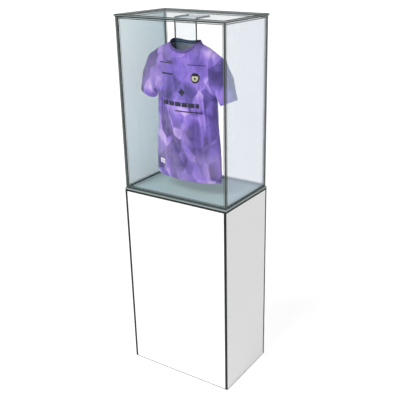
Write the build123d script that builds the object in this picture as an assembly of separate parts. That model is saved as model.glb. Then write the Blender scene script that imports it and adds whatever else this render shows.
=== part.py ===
from build123d import *
import os
from math import cos, pi, sin

# Free-standing glass showcase for one football jersey: a hollow white plinth, a lift-off hood of
# glass plates and, hung inside the hood, a clear form that fills the jersey out.
# Millimetres. Origin on the floor under the middle of the plinth; +X is the right-hand side seen
# from the front, -Y the front, +Z up. The glass is sized round the jersey and the room kept free.

os.makedirs("parts", exist_ok=True)

# ---- Jersey, as it stands on its form --------------------------------------------------------
JERSEY_LENGTH = 715.0      # collar's top edge to the hem
SLEEVE_SPAN = 600.0        # sleeve tip to sleeve tip
CHEST_WIDTH = 370.0        # across the body below the armholes
CHEST_DEPTH = 150.0        # front to back at the chest
HEM_WIDTH = 424.0
HEM_DEPTH = 100.0
FABRIC = 2.0               # knit with its seams, as a shell
SEAM_GAP = 0.2             # between pieces that are sewn together
COLLAR_WIDTH = 18.0
COLLAR_HALF_WIDTH = 108.0   # half the collar's width where it crosses the shoulders
COLLAR_THICK = 1.5
NECK_HALF_WIDTH = 78.0
NECK_DIP = 56.0            # how far the front neckline hangs below the collar's top edge
BADGE_RADIUS = 23.0
BADGE_SIDE = 78.0          # badge's centre from the middle of the chest
BADGE_DROP = 188.0         # badge's centre below the collar's top edge

# Body sections above the armpits: drop below the collar's top edge, share of the chest's width,
# share of the chest's depth.
SHOULDER_SECTIONS = [
    (3.0, 0.476, 0.560),
    (18.0, 0.660, 0.613),
    (35.0, 0.880, 0.667),
    (60.0, 0.976, 0.747),
    (95.0, 0.990, 0.827),
    (155.0, 0.990, 0.920),
]
CHEST_DROP = 315.0         # the chest's section below the collar's top edge
SKIRT_SECTIONS = [(0.2, 0.129), (0.4, 0.452), (0.65, 0.839), (1.0, 1.0)]  # share of drop, flare

# Sleeve: the armhole is an upright oval; each later section is an oval between an upper and a
# lower point, given as share of the way from the chest's side to the sleeve tip, and drop.
ARMHOLE_INSET = 22.0       # armhole's plane inboard of the chest's side
ARMHOLE_TOP = 34.0         # drops of the armhole's ends
ARMPIT_DROP = 258.0
ARMHOLE_DEPTH = 108.0
SLEEVE_SIDES = 24          # short sides round a sleeve
SLEEVE_SECTIONS = [
    ((0.365, 69.0), (0.05, 249.0), 50.0),
    ((0.752, 150.0), (0.130, 275.0), 44.0),
    ((1.0, 265.0), (0.235, 301.0), 36.0),
]

# ---- Room kept free round the jersey ---------------------------------------------------------
SIDE_ROOM = 10.0           # sleeve tip to the side glass
FRONT_ROOM = 65.0          # chest to the front glass
BACK_ROOM = 175.0          # back to the rear glass
HEAD_ROOM = 115.0          # collar to the top glass
HEM_ROOM = 72.0            # hem to the floor glass

# ---- Glass hood and floor --------------------------------------------------------------------
GLASS = 10.0
PLATE_OVERHANG = 5.0       # top and floor plates stand out past the hood's walls
ARRIS = 1.0                # ground edge of the top and floor plates
SEAL = 2.0                 # seal strip under the hood's walls
LOCATOR_LEG = 30.0         # corner blocks that centre the hood
LOCATOR_THICK = 8.0
LOCATOR_HEIGHT = 10.0
LOCATOR_GAP = 1.5

# ---- Hanger and form -------------------------------------------------------------------------
HANGER_WIDTH = 132.0
HANGER_THICK = 8.0
HANGER_REACH = 125.0       # flange under the top glass, front to back
HANGER_DROP = 320.0        # drop plate's length below the top glass
HANGER_BEND = 4.0          # inner radius of the bend
BOND = 1.0                 # clear bonding sheet between flange and top glass
FORM_GAP = 3.0             # form to fabric
FORM_WALL = 3.0
FORM_LENGTH = 625.0        # form's lower edge below the collar's top edge
FORM_NECK_WIDTH = 210.0    # opening in the form's top, wider than the neckline
FORM_NECK_DIP = 95.0
STUD_DIAMETER = 6.0
STUD_LENGTH = 50.0
STUD_SPACING = 90.0
STUD_DROP = 175.0          # studs below the collar's top edge
SPACER_DIAMETER = 16.0
HOLE_CLEARANCE = 0.1       # round fasteners in their holes, on the radius

# ---- Plinth ----------------------------------------------------------------------------------
PLINTH_HEIGHT = 1072.0     # floor to the panels' upper edge
FLOOR_GAP = 4.0            # panels' lower edge above the floor
PANEL = 10.0               # white laminate panel with a dark core
GASKET = 6.0               # rim gasket between the panels and the floor glass
GASKET_WIDTH = 30.0
RAIL_THICK = 20.0
RAIL_HEIGHT = 60.0
BASE_BOARD = 18.0
BASE_BOARD_HEIGHT = 18.0   # base board's underside above the floor
BATTEN_WIDTH = 14.0
BATTEN_HEIGHT = 20.0
ANGLE_LEG = 20.0
ANGLE_WALL = 2.0
ANGLE_TOP_ROOM = 156.0     # corner angles stop this far below the top rails
ANGLE_SCREW_ROWS = 3
DRILL_POINT = 0.5          # how far a blind hole runs on past its screw's tip
SCREW_DIAMETER = 4.0
SCREW_BITE = 7.0           # screw depth in a panel
SCREW_HEAD_DIAMETER = 8.0
SCREW_HEAD_HEIGHT = 2.5
RAIL_SCREW_EDGE = 90.0     # rail screws from the rail's ends

# ---- Levelling feet --------------------------------------------------------------------------
FOOT_INSET = 45.0          # foot's centre from the panels' inner faces
PAD_DIAMETER = 40.0
PAD_HEIGHT = 8.0
PAD_SOCKET = 4.0           # depth of the socket that the stud turns in
LEVELLER_DIAMETER = 10.0   # M10 thread
LEVELLER_LENGTH = 66.0
HEX_ACROSS_FLATS = 17.0
HEX_HEIGHT = 7.0
INSERT_FLANGE_DIAMETER = 22.0
INSERT_FLANGE = 2.0
INSERT_WALL = 2.5
THREAD_CLEARANCE = 0.06

# ---- Worked-out planes -----------------------------------------------------------------------
room_x = SLEEVE_SPAN / 2 + SIDE_ROOM                        # inner half width of the hood
room_y = (FRONT_ROOM + CHEST_DEPTH + BACK_ROOM) / 2         # inner half depth
wall_x = room_x + GLASS
wall_y = room_y + GLASS
plate_x = wall_x + PLATE_OVERHANG                           # plates and plinth, half width
plate_y = wall_y + PLATE_OVERHANG
inner_x = plate_x - PANEL                                   # plinth's inner faces
inner_y = plate_y - PANEL
garment_y = -room_y + FRONT_ROOM + CHEST_DEPTH / 2

gasket_top = PLINTH_HEIGHT + GASKET
floor_top = gasket_top + GLASS
wall_foot = floor_top + SEAL
hem_z = floor_top + HEM_ROOM
collar_z = hem_z + JERSEY_LENGTH
wall_top = collar_z + HEAD_ROOM
case_top = wall_top + GLASS
base_top = BASE_BOARD_HEIGHT + BASE_BOARD
rail_low = PLINTH_HEIGHT - RAIL_HEIGHT
angle_length = rail_low - ANGLE_TOP_ROOM - base_top

half_chest = CHEST_WIDTH / 2
sleeve_reach = SLEEVE_SPAN / 2 - half_chest
armhole_x = half_chest - ARMHOLE_INSET
corners = [(sx, sy) for sx in (-1, 1) for sy in (-1, 1)]


def block(x0, x1, y0, y1, z0, z1):
    """A rectangular block between two corners."""
    centre = Pos((x0 + x1) / 2, (y0 + y1) / 2, (z0 + z1) / 2)
    return centre * Box(x1 - x0, y1 - y0, z1 - z0)


def rod(start, end, radius):
    """A round rod from one point to another."""
    start, end = Vector(*start), Vector(*end)
    plane = Plane(origin=start, z_dir=end - start)
    return extrude(plane * Circle(radius), (end - start).length)


def group(pieces):
    """Separate solids that share one node."""
    return Compound(children=[solid for piece in pieces for solid in piece.solids()])


def export(name, shape):
    solids = shape.solids()
    whole = solids[0] if len(solids) == 1 else Compound(children=list(solids))
    export_step(whole, f"parts/{name}.step")
    print(f"{name}: {len(solids)} solid(s)")


# ---- Plinth: fasteners first, because the panels are drilled for them -------------------------
def screw(x, y, z, nx, ny, through):
    """Screw whose head sits at (x, y, z), driven along (nx, ny) through a piece into a panel."""
    tip = through + SCREW_BITE
    shank = rod((x, y, z), (x + nx * tip, y + ny * tip, z), SCREW_DIAMETER / 2)
    head = rod((x - nx * SCREW_HEAD_HEIGHT, y - ny * SCREW_HEAD_HEIGHT, z), (x, y, z),
               SCREW_HEAD_DIAMETER / 2)
    hole = rod((x, y, z), (x + nx * (tip + DRILL_POINT), y + ny * (tip + DRILL_POINT), z),
               SCREW_DIAMETER / 2 + HOLE_CLEARANCE)
    return shank + head, hole


angle_screws, angle_holes = [], []
angle_leg_middle = (ANGLE_LEG + ANGLE_WALL) / 2
for sx, sy in corners:
    for row in range(ANGLE_SCREW_ROWS):
        z = base_top + angle_length * (row + 0.5) / ANGLE_SCREW_ROWS
        stagger = SCREW_HEAD_DIAMETER       # the two legs' heads pass each other
        places = [
            (sx * (inner_x - ANGLE_WALL), sy * (inner_y - angle_leg_middle), z, sx, 0),
            (sx * (inner_x - angle_leg_middle), sy * (inner_y - ANGLE_WALL), z + stagger, 0, sy),
        ]
        for x, y, height, nx, ny in places:
            fastener, hole = screw(x, y, height, nx, ny, ANGLE_WALL)
            angle_screws.append(fastener)
            angle_holes.append(hole)

rail_z = PLINTH_HEIGHT - RAIL_HEIGHT / 2
side_rail_half = inner_y - RAIL_THICK
rail_screws, rail_holes = [], []
for side in (-1, 1):
    for end in (-1, 1):
        long_place = (end * (inner_x - RAIL_SCREW_EDGE), side * (inner_y - RAIL_THICK), 0, side)
        short_place = (side * (inner_x - RAIL_THICK), end * (side_rail_half - RAIL_SCREW_EDGE),
                       side, 0)
        for x, y, nx, ny in (long_place, short_place):
            fastener, hole = screw(x, y, rail_z, nx, ny, RAIL_THICK)
            rail_screws.append(fastener)
            rail_holes.append(hole)

all_holes = group(angle_holes + rail_holes)

# Panels: the sides show their front edges, the back panel overlays the sides' rear edges.
plinth_panels = {
    "front_panel": block(-inner_x, inner_x, -plate_y, -inner_y, FLOOR_GAP, PLINTH_HEIGHT),
    "back_panel": block(-plate_x, plate_x, inner_y, plate_y, FLOOR_GAP, PLINTH_HEIGHT),
    "left_panel": block(-plate_x, -inner_x, -plate_y, inner_y, FLOOR_GAP, PLINTH_HEIGHT),
    "right_panel": block(inner_x, plate_x, -plate_y, inner_y, FLOOR_GAP, PLINTH_HEIGHT),
}
for name, panel in plinth_panels.items():
    export(name, panel - all_holes)

# Top rails carry the rim and the floor glass; the side rails fit between the long ones.
for name, side in (("front", -1), ("back", 1)):
    inner, outer = sorted((side * (inner_y - RAIL_THICK), side * inner_y))
    rail = block(-inner_x, inner_x, inner, outer, rail_low, PLINTH_HEIGHT)
    export(f"top_rail_{name}", rail - all_holes)
for name, side in (("left", -1), ("right", 1)):
    inner, outer = sorted((side * (inner_x - RAIL_THICK), side * inner_x))
    rail = block(inner, outer, -side_rail_half, side_rail_half, rail_low, PLINTH_HEIGHT)
    export(f"top_rail_{name}", rail - all_holes)

# Corner angles stand on the base board and tie the panels together.
angles = []
for sx, sy in corners:
    leg_x = sorted((sx * inner_x, sx * (inner_x - ANGLE_LEG)))
    leg_y = sorted((sy * inner_y, sy * (inner_y - ANGLE_LEG)))
    void_x = sorted((sx * (inner_x - ANGLE_WALL), sx * (inner_x - ANGLE_LEG - 1)))
    void_y = sorted((sy * (inner_y - ANGLE_WALL), sy * (inner_y - ANGLE_LEG - 1)))
    bar = block(*leg_x, *leg_y, base_top, base_top + angle_length)
    bar -= block(*void_x, *void_y, base_top - 1, base_top + angle_length + 1)
    angles.append(bar - all_holes)
export("corner_angles", group(angles))
export("angle_screws", group(angle_screws))
export("rail_screws", group(rail_screws))

# ---- Base board, battens and levelling feet ---------------------------------------------------
foot_x = inner_x - FOOT_INSET
foot_y = inner_y - FOOT_INSET
feet = {"front_left": (-foot_x, -foot_y), "front_right": (foot_x, -foot_y),
        "back_left": (-foot_x, foot_y), "back_right": (foot_x, foot_y)}
leveller_radius = LEVELLER_DIAMETER / 2
insert_bore = leveller_radius + THREAD_CLEARANCE
insert_radius = leveller_radius + INSERT_WALL

base_board = block(-inner_x, inner_x, -inner_y, inner_y, BASE_BOARD_HEIGHT, base_top)
inserts = []
for x, y in feet.values():
    base_board -= rod((x, y, BASE_BOARD_HEIGHT - 1), (x, y, base_top + 1), insert_radius)
    insert = rod((x, y, BASE_BOARD_HEIGHT), (x, y, base_top), insert_radius)
    insert += rod((x, y, BASE_BOARD_HEIGHT - INSERT_FLANGE), (x, y, BASE_BOARD_HEIGHT),
                  INSERT_FLANGE_DIAMETER / 2)
    insert -= rod((x, y, 0), (x, y, base_top + 1), insert_bore)
    inserts.append(insert)
export("base_board", base_board)
export("foot_inserts", group(inserts))

batten_x = foot_x - PAD_DIAMETER
batten_low = FLOOR_GAP
battens = []
for side in (-1, 1):
    edge = sorted((side * inner_y, side * (inner_y - BATTEN_WIDTH)))
    battens.append(block(-batten_x, batten_x, *edge, batten_low, BASE_BOARD_HEIGHT))
    battens.append(block(-inner_x + ANGLE_LEG, inner_x - ANGLE_LEG, *edge,
                         base_top, base_top + BATTEN_HEIGHT))
export("base_battens", group(battens))

socket_floor = PAD_HEIGHT - PAD_SOCKET
for name, (x, y) in feet.items():
    pad = rod((x, y, 0), (x, y, PAD_HEIGHT), PAD_DIAMETER / 2)
    pad = chamfer(pad.edges().group_by(Axis.Z)[-1], PAD_HEIGHT / 4)
    pad -= rod((x, y, socket_floor), (x, y, PAD_HEIGHT + 1), leveller_radius + THREAD_CLEARANCE)
    export(f"foot_pad_{name}", pad)
    stud = rod((x, y, socket_floor), (x, y, socket_floor + LEVELLER_LENGTH), leveller_radius)
    hexagon = Pos(x, y, PAD_HEIGHT) * RegularPolygon(HEX_ACROSS_FLATS / 2, 6, major_radius=False)
    stud += extrude(hexagon, HEX_HEIGHT)
    export(f"foot_stud_{name}", stud)

# ---- Rim gasket, floor glass, locating blocks and hood seal -----------------------------------
def frame_strips(x, y, width, z0, z1):
    """Four strips round a rectangle: the long pair runs full width, the short pair between."""
    strips = [block(-x, x, *sorted((s * y, s * (y - width))), z0, z1) for s in (-1, 1)]
    strips += [block(*sorted((s * x, s * (x - width))), -y + width, y - width, z0, z1)
               for s in (-1, 1)]
    return group(strips)


export("rim_gasket", frame_strips(plate_x, plate_y, GASKET_WIDTH, PLINTH_HEIGHT, gasket_top))


def plate(z0):
    """A full-size glass plate with its edges ground."""
    glass = block(-plate_x, plate_x, -plate_y, plate_y, z0, z0 + GLASS)
    return chamfer(glass.edges(), ARRIS)


export("floor_glass", plate(gasket_top))

locator_x = room_x - LOCATOR_GAP
locator_y = room_y - LOCATOR_GAP
locators = []
for sx, sy in corners:
    outer = block(*sorted((sx * locator_x, sx * (locator_x - LOCATOR_LEG))),
                  *sorted((sy * locator_y, sy * (locator_y - LOCATOR_LEG))),
                  floor_top, floor_top + LOCATOR_HEIGHT)
    inside_x = locator_x - LOCATOR_THICK
    inside_y = locator_y - LOCATOR_THICK
    outer -= block(*sorted((sx * inside_x, sx * (inside_x - LOCATOR_LEG))),
                   *sorted((sy * inside_y, sy * (inside_y - LOCATOR_LEG))),
                   floor_top - 1, floor_top + LOCATOR_HEIGHT + 1)
    locators.append(outer)
export("corner_locators", group(locators))
export("hood_seal", frame_strips(wall_x, wall_y, GLASS, floor_top, wall_foot))

# ---- Glass hood: front and back run full width, the sides fit between them --------------------
hood_walls = {
    "hood_front_glass": block(-wall_x, wall_x, -wall_y, -room_y, wall_foot, wall_top),
    "hood_back_glass": block(-wall_x, wall_x, room_y, wall_y, wall_foot, wall_top),
    "hood_left_glass": block(-wall_x, -room_x, -room_y, room_y, wall_foot, wall_top),
    "hood_right_glass": block(room_x, wall_x, -room_y, room_y, wall_foot, wall_top),
    "hood_top_glass": plate(wall_top),
}
for name, pane in hood_walls.items():
    export(name, pane)


# ---- Jersey and form as lofts ------------------------------------------------------------------
def body_sections():
    """Height, half width and half depth of the body's ovals, from the collar to the hem."""
    sections = [(collar_z - drop, half_chest * w, CHEST_DEPTH / 2 * d)
                for drop, w, d in SHOULDER_SECTIONS]
    sections.append((collar_z - CHEST_DROP, half_chest, CHEST_DEPTH / 2))
    for share, flare in SKIRT_SECTIONS:
        z = collar_z - CHEST_DROP - share * (JERSEY_LENGTH - CHEST_DROP)
        width = half_chest + flare * (HEM_WIDTH / 2 - half_chest)
        depth = CHEST_DEPTH / 2 + share * (HEM_DEPTH - CHEST_DEPTH) / 2
        sections.append((z, width, depth))
    return sections


def body_solid(inset):
    """The filled body, with its surface moved inwards by inset."""
    ovals = [Pos(0, garment_y, z) * Ellipse(w - inset, d - inset) for z, w, d in body_sections()]
    return loft(ovals)


def sleeve_oval(top, low, half_depth, inset):
    """An oval face of many short sides, between an upper and a lower point."""
    middle, up = (top + low) / 2, (top - low).normalized()
    half_height = (top - low).length / 2 - inset
    turns = [2 * pi * side / SLEEVE_SIDES for side in range(SLEEVE_SIDES)]
    points = [middle + up * half_height * cos(turn) + Vector(0, 1, 0) * (half_depth - inset)
              * sin(turn) for turn in turns]
    return make_face(Polyline(*points, close=True))


def sleeve_solid(inset):
    """The filled right sleeve, from the armhole's plane to the cuff."""
    top = Vector(armhole_x + SEAM_GAP, garment_y, collar_z - ARMHOLE_TOP - SEAM_GAP)
    low = Vector(armhole_x + SEAM_GAP, garment_y, collar_z - ARMPIT_DROP + SEAM_GAP)
    ovals = [sleeve_oval(top, low, ARMHOLE_DEPTH / 2, inset)]
    for (top_share, top_drop), (low_share, low_drop), half_depth in SLEEVE_SECTIONS:
        top = Vector(half_chest + top_share * sleeve_reach, garment_y, collar_z - top_drop)
        low = Vector(half_chest + low_share * sleeve_reach, garment_y, collar_z - low_drop)
        ovals.append(sleeve_oval(top, low, half_depth, inset))
    return loft(ovals, ruled=True)


def end_faces(solid):
    """A loft's two flat ends; its sides are curved or have four edges."""
    return [f for f in solid.faces() if f.geom_type == GeomType.PLANE and len(f.edges()) != 4]


def hollow(outer, inner):
    """The wall between two lofts whose ends lie in the same planes, open at both ends."""
    outer_ends, inner_ends = end_faces(outer), end_faces(inner)
    skins = [f for f in outer.faces() if f not in outer_ends]
    skins += [f for f in inner.faces() if f not in inner_ends]
    for end in outer_ends:
        partner = min(inner_ends, key=lambda f: (f.center() - end.center()).length)
        skins += (end - partner).faces()
    return Solid(Shell(skins))


far = 2 * plate_x            # reach of the cutting blocks


def front_oval(half_width, dip):
    """A prism along Y over the front half, oval in front view, centred on the collar's top."""
    face = Plane(origin=(0, garment_y, collar_z), z_dir=(0, -1, 0)) * Ellipse(half_width, dip)
    return extrude(face, far)


garment_plane = Plane(origin=(0, garment_y, 0), z_dir=(0, 1, 0))
front_half = block(-far, far, garment_y - far, garment_y - SEAM_GAP / 2, hem_z - 1, collar_z + 1)
back_half = block(-far, far, garment_y + SEAM_GAP / 2, garment_y + far, hem_z - 1, collar_z + 1)

left_of = Plane.YZ

arm_cuts = [block(*sorted((side * armhole_x, side * far)), garment_y - far, garment_y + far,
                  collar_z - ARMPIT_DROP - SEAM_GAP, collar_z + 1) for side in (-1, 1)]
body_shell = hollow(body_solid(0), body_solid(FABRIC)) - arm_cuts[0] - arm_cuts[1]
neckline = front_oval(NECK_HALF_WIDTH, NECK_DIP)
export("jersey_front", body_shell & front_half - neckline)
export("jersey_back", body_shell & back_half)

sleeve_shell = hollow(sleeve_solid(0), sleeve_solid(FABRIC))
export("jersey_right_sleeve", sleeve_shell)
export("jersey_left_sleeve", mirror(sleeve_shell, about=left_of))

collar_shell = hollow(body_solid(-SEAM_GAP - COLLAR_THICK), body_solid(-SEAM_GAP))
collar_front = front_oval(COLLAR_HALF_WIDTH, NECK_DIP + COLLAR_WIDTH) - neckline
collar_back = mirror(front_oval(COLLAR_HALF_WIDTH, COLLAR_WIDTH), about=garment_plane)
export("jersey_collar", (collar_shell & collar_front) + (collar_shell & collar_back))

badge_face = Plane(origin=(BADGE_SIDE, garment_y, collar_z - BADGE_DROP), z_dir=(0, -1, 0))
export("jersey_badge", collar_shell & extrude(badge_face * Circle(BADGE_RADIUS), far))

# ---- Hanger: one bent clear plate, bonded under the top glass ---------------------------------
flange_top = wall_top - BOND
plate_front = garment_y - HANGER_THICK / 2
plate_back = garment_y + HANGER_THICK / 2
flange_back = plate_front + HANGER_REACH
hanger_low = flange_top - HANGER_DROP
half_hanger = HANGER_WIDTH / 2
hanger = block(-half_hanger, half_hanger, plate_front, plate_back, hanger_low, flange_top)
hanger += block(-half_hanger, half_hanger, plate_front, flange_back,
                flange_top - HANGER_THICK, flange_top)
bends = [(plate_back, flange_top - HANGER_THICK, HANGER_BEND),
         (plate_front, flange_top, HANGER_BEND + HANGER_THICK)]
for y, z, radius in bends:
    corner = Vector(0, y, z)
    bend = [e for e in hanger.edges().filter_by(Axis.X) if (e.center() - corner).length < 0.01]
    hanger = fillet(bend, radius)

stud_z = collar_z - STUD_DROP
studs, stud_holes, spacers = [], [], []
form_inset = FABRIC + FORM_GAP
form_inner = body_solid(form_inset + FORM_WALL)
for side in (-1, 1):
    x = side * STUD_SPACING / 2
    ends = [(x, garment_y - STUD_LENGTH / 2, stud_z), (x, garment_y + STUD_LENGTH / 2, stud_z)]
    studs.append(rod(*ends, STUD_DIAMETER / 2))
    stud_holes.append(rod(*ends, STUD_DIAMETER / 2 + HOLE_CLEARANCE))
for side in (-1, 1):
    x = side * STUD_SPACING / 2
    for y0, y1 in ((garment_y - far, plate_front), (plate_back, garment_y + far)):
        spacer = rod((x, y0, stud_z), (x, y1, stud_z), SPACER_DIAMETER / 2) & form_inner
        spacers.append(spacer - group(stud_holes))
export("hanger_plate", hanger - group(stud_holes))
bond_front = plate_front + HANGER_BEND + HANGER_THICK
export("hanger_bond", block(-half_hanger, half_hanger, bond_front, flange_back,
                            flange_top, wall_top))
export("hanger_studs", group(studs))
export("form_spacers", group(spacers))

# ---- Form: clear moulded front, back and two short arms ---------------------------------------
form_low = collar_z - FORM_LENGTH
form_band = block(-far, far, garment_y - far, garment_y + far, form_low, collar_z)
form_neck = front_oval(FORM_NECK_WIDTH / 2, FORM_NECK_DIP)
form_neck += mirror(form_neck, about=garment_plane)
form_shell = (hollow(body_solid(form_inset), form_inner) - form_neck) & form_band
form_shell = form_shell - arm_cuts[0] - arm_cuts[1]
form_arm = hollow(sleeve_solid(form_inset), sleeve_solid(form_inset + FORM_WALL))
export("form_front", form_shell & front_half)
export("form_back", form_shell & back_half)
export("form_right_arm", form_arm)
export("form_left_arm", mirror(form_arm, about=left_of))

print(f"overall {2 * plate_x:g} x {2 * plate_y:g} x {case_top:g}, jersey plane y {garment_y:g}")
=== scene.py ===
# %% [markdown]
# A free-standing glass showcase with one jersey in it: a hollow white plinth, a lift-off hood of
# glass plates, and a clear bent hanger that carries the jersey on a clear form. The CAD parts come
# in ready-made, so this lesson only gives them their finishes, and makes the jersey and its
# collar, badge, label and stitching, because cloth is what CAD can't draw well.

# %% Load the frame
import math

import bmesh
import bpy
import numpy as np
from mathutils import Euler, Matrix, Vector
from mathutils.bvhtree import BVHTree


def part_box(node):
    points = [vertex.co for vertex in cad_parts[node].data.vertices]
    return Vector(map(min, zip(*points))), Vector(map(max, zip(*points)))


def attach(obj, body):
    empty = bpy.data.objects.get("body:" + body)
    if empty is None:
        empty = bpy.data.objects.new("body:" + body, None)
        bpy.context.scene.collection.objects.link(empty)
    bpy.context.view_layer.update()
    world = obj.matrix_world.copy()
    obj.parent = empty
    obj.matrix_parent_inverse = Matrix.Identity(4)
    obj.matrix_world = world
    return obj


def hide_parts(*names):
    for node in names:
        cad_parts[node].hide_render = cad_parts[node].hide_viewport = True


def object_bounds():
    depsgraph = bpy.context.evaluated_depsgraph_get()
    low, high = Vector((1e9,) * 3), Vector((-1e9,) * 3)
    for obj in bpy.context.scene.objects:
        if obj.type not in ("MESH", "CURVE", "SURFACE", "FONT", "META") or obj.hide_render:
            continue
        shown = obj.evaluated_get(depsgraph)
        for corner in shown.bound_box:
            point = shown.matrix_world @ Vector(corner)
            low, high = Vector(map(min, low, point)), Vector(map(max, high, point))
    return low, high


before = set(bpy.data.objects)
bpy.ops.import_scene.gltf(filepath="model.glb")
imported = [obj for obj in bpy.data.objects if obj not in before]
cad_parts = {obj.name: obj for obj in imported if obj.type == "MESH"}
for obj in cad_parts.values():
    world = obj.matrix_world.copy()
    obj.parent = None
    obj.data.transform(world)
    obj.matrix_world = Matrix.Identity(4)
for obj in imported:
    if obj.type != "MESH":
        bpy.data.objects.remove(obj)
cad_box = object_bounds()
low, high = cad_box
print("case", [round(v, 3) for v in high - low])

# %% [markdown]
# The camera stands right of the front and a little above the case, about as far off as somebody
# who looks at the whole of it. Its direction is an azimuth, an elevation and a slight roll, and the
# lens shift frames the case left of the middle.

# %% Camera
AZIMUTH, ELEVATION, ROLL = math.radians(31.626), math.radians(21.411), math.radians(-0.212)
EYE, LENS, SHIFT_X, SHIFT_Y = (1.8947, -2.7003, 2.2937), 57.63, -0.0804, 0.0022
back = Vector((math.sin(AZIMUTH) * math.cos(ELEVATION), -math.cos(AZIMUTH) * math.cos(ELEVATION),
               math.sin(ELEVATION)))
camera = bpy.data.objects.new("camera", bpy.data.cameras.new("camera"))
bpy.context.collection.objects.link(camera)
camera.location = EYE
camera.rotation_mode = "QUATERNION"
camera.rotation_quaternion = (-back).to_track_quat("-Z", "Y")
camera.rotation_quaternion @= Euler((0, 0, ROLL)).to_quaternion()
camera.data.lens = LENS
camera.data.shift_x = SHIFT_X
camera.data.shift_y = SHIFT_Y
bpy.context.scene.camera = camera
print("camera", [round(v, 2) for v in camera.location])

# %% [markdown]
# A bright, even studio: a white sky, one wide soft sun from the front left, and a pale floor that
# glows a little, as a floodlit studio floor does, so shadows on it stay faint. The plain
# "Standard" view keeps white plates white.

# %% Studio
SKY_LIGHT, SKY_SEEN = 0.28, 1.05    # the sky's strength as light, and as it is seen
SUN_POWER, SUN_SPREAD, SUN_FROM = 2.4, 35, (-0.22, -0.66, 0.72)
SEE_THROUGH = 32                    # a sight line crosses many glass faces
scene = bpy.context.scene
scene.view_settings.view_transform = "Standard"
scene.cycles.transparent_max_bounces = SEE_THROUGH
world = bpy.data.worlds.new("studio")
scene.world = world
world.use_nodes = True
sky = world.node_tree
sky.nodes.clear()
path = sky.nodes.new("ShaderNodeLightPath")
strength = sky.nodes.new("ShaderNodeMapRange")
strength.inputs["To Min"].default_value = SKY_LIGHT
strength.inputs["To Max"].default_value = SKY_SEEN
glow = sky.nodes.new("ShaderNodeBackground")
glow.inputs["Color"].default_value = (1, 1, 1, 1)
sky_end = sky.nodes.new("ShaderNodeOutputWorld")
sky.links.new(path.outputs["Is Camera Ray"], strength.inputs["Value"])
sky.links.new(strength.outputs["Result"], glow.inputs["Strength"])
sky.links.new(glow.outputs["Background"], sky_end.inputs["Surface"])

sun = bpy.data.objects.new("sun", bpy.data.lights.new("sun", "SUN"))
bpy.context.collection.objects.link(sun)
sun.data.energy = SUN_POWER
sun.data.angle = math.radians(SUN_SPREAD)
sun.rotation_mode = "QUATERNION"
sun.rotation_quaternion = Vector(SUN_FROM).to_track_quat("Z", "Y")
print("sun", sun.data.energy)

# %% [markdown]
# Every finish below is worked out from a few numbers on the surface. Blender does this with nodes,
# which are hard to read as a list, so one small class lets us write them as sums. A `Wire` is the
# value that leaves a node: adding or multiplying two wires adds the Math node for it. A `Finish`
# is one material; its `node` method makes any other node from its type, settings and inputs.

# %% Wires and finishes
class Wire:
    """A value on its way from one node to the next; sums on it make Math nodes."""

    def __init__(self, finish, socket):
        self.finish, self.socket = finish, socket

    def __add__(self, other): return self.finish.sum("ADD", self, other)
    def __radd__(self, other): return self.finish.sum("ADD", other, self)
    def __sub__(self, other): return self.finish.sum("SUBTRACT", self, other)
    def __rsub__(self, other): return self.finish.sum("SUBTRACT", other, self)
    def __mul__(self, other): return self.finish.sum("MULTIPLY", self, other)
    def __abs__(self): return self.finish.sum("ABSOLUTE", self)
    def __lt__(self, other): return self.finish.sum("LESS_THAN", self, other)
    def __gt__(self, other): return self.finish.sum("GREATER_THAN", self, other)
    def sine(self): return self.finish.sum("SINE", self)
    def either(self, other): return self.finish.sum("MAXIMUM", self, other)
    def lesser(self, other): return self.finish.sum("MINIMUM", self, other)


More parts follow.
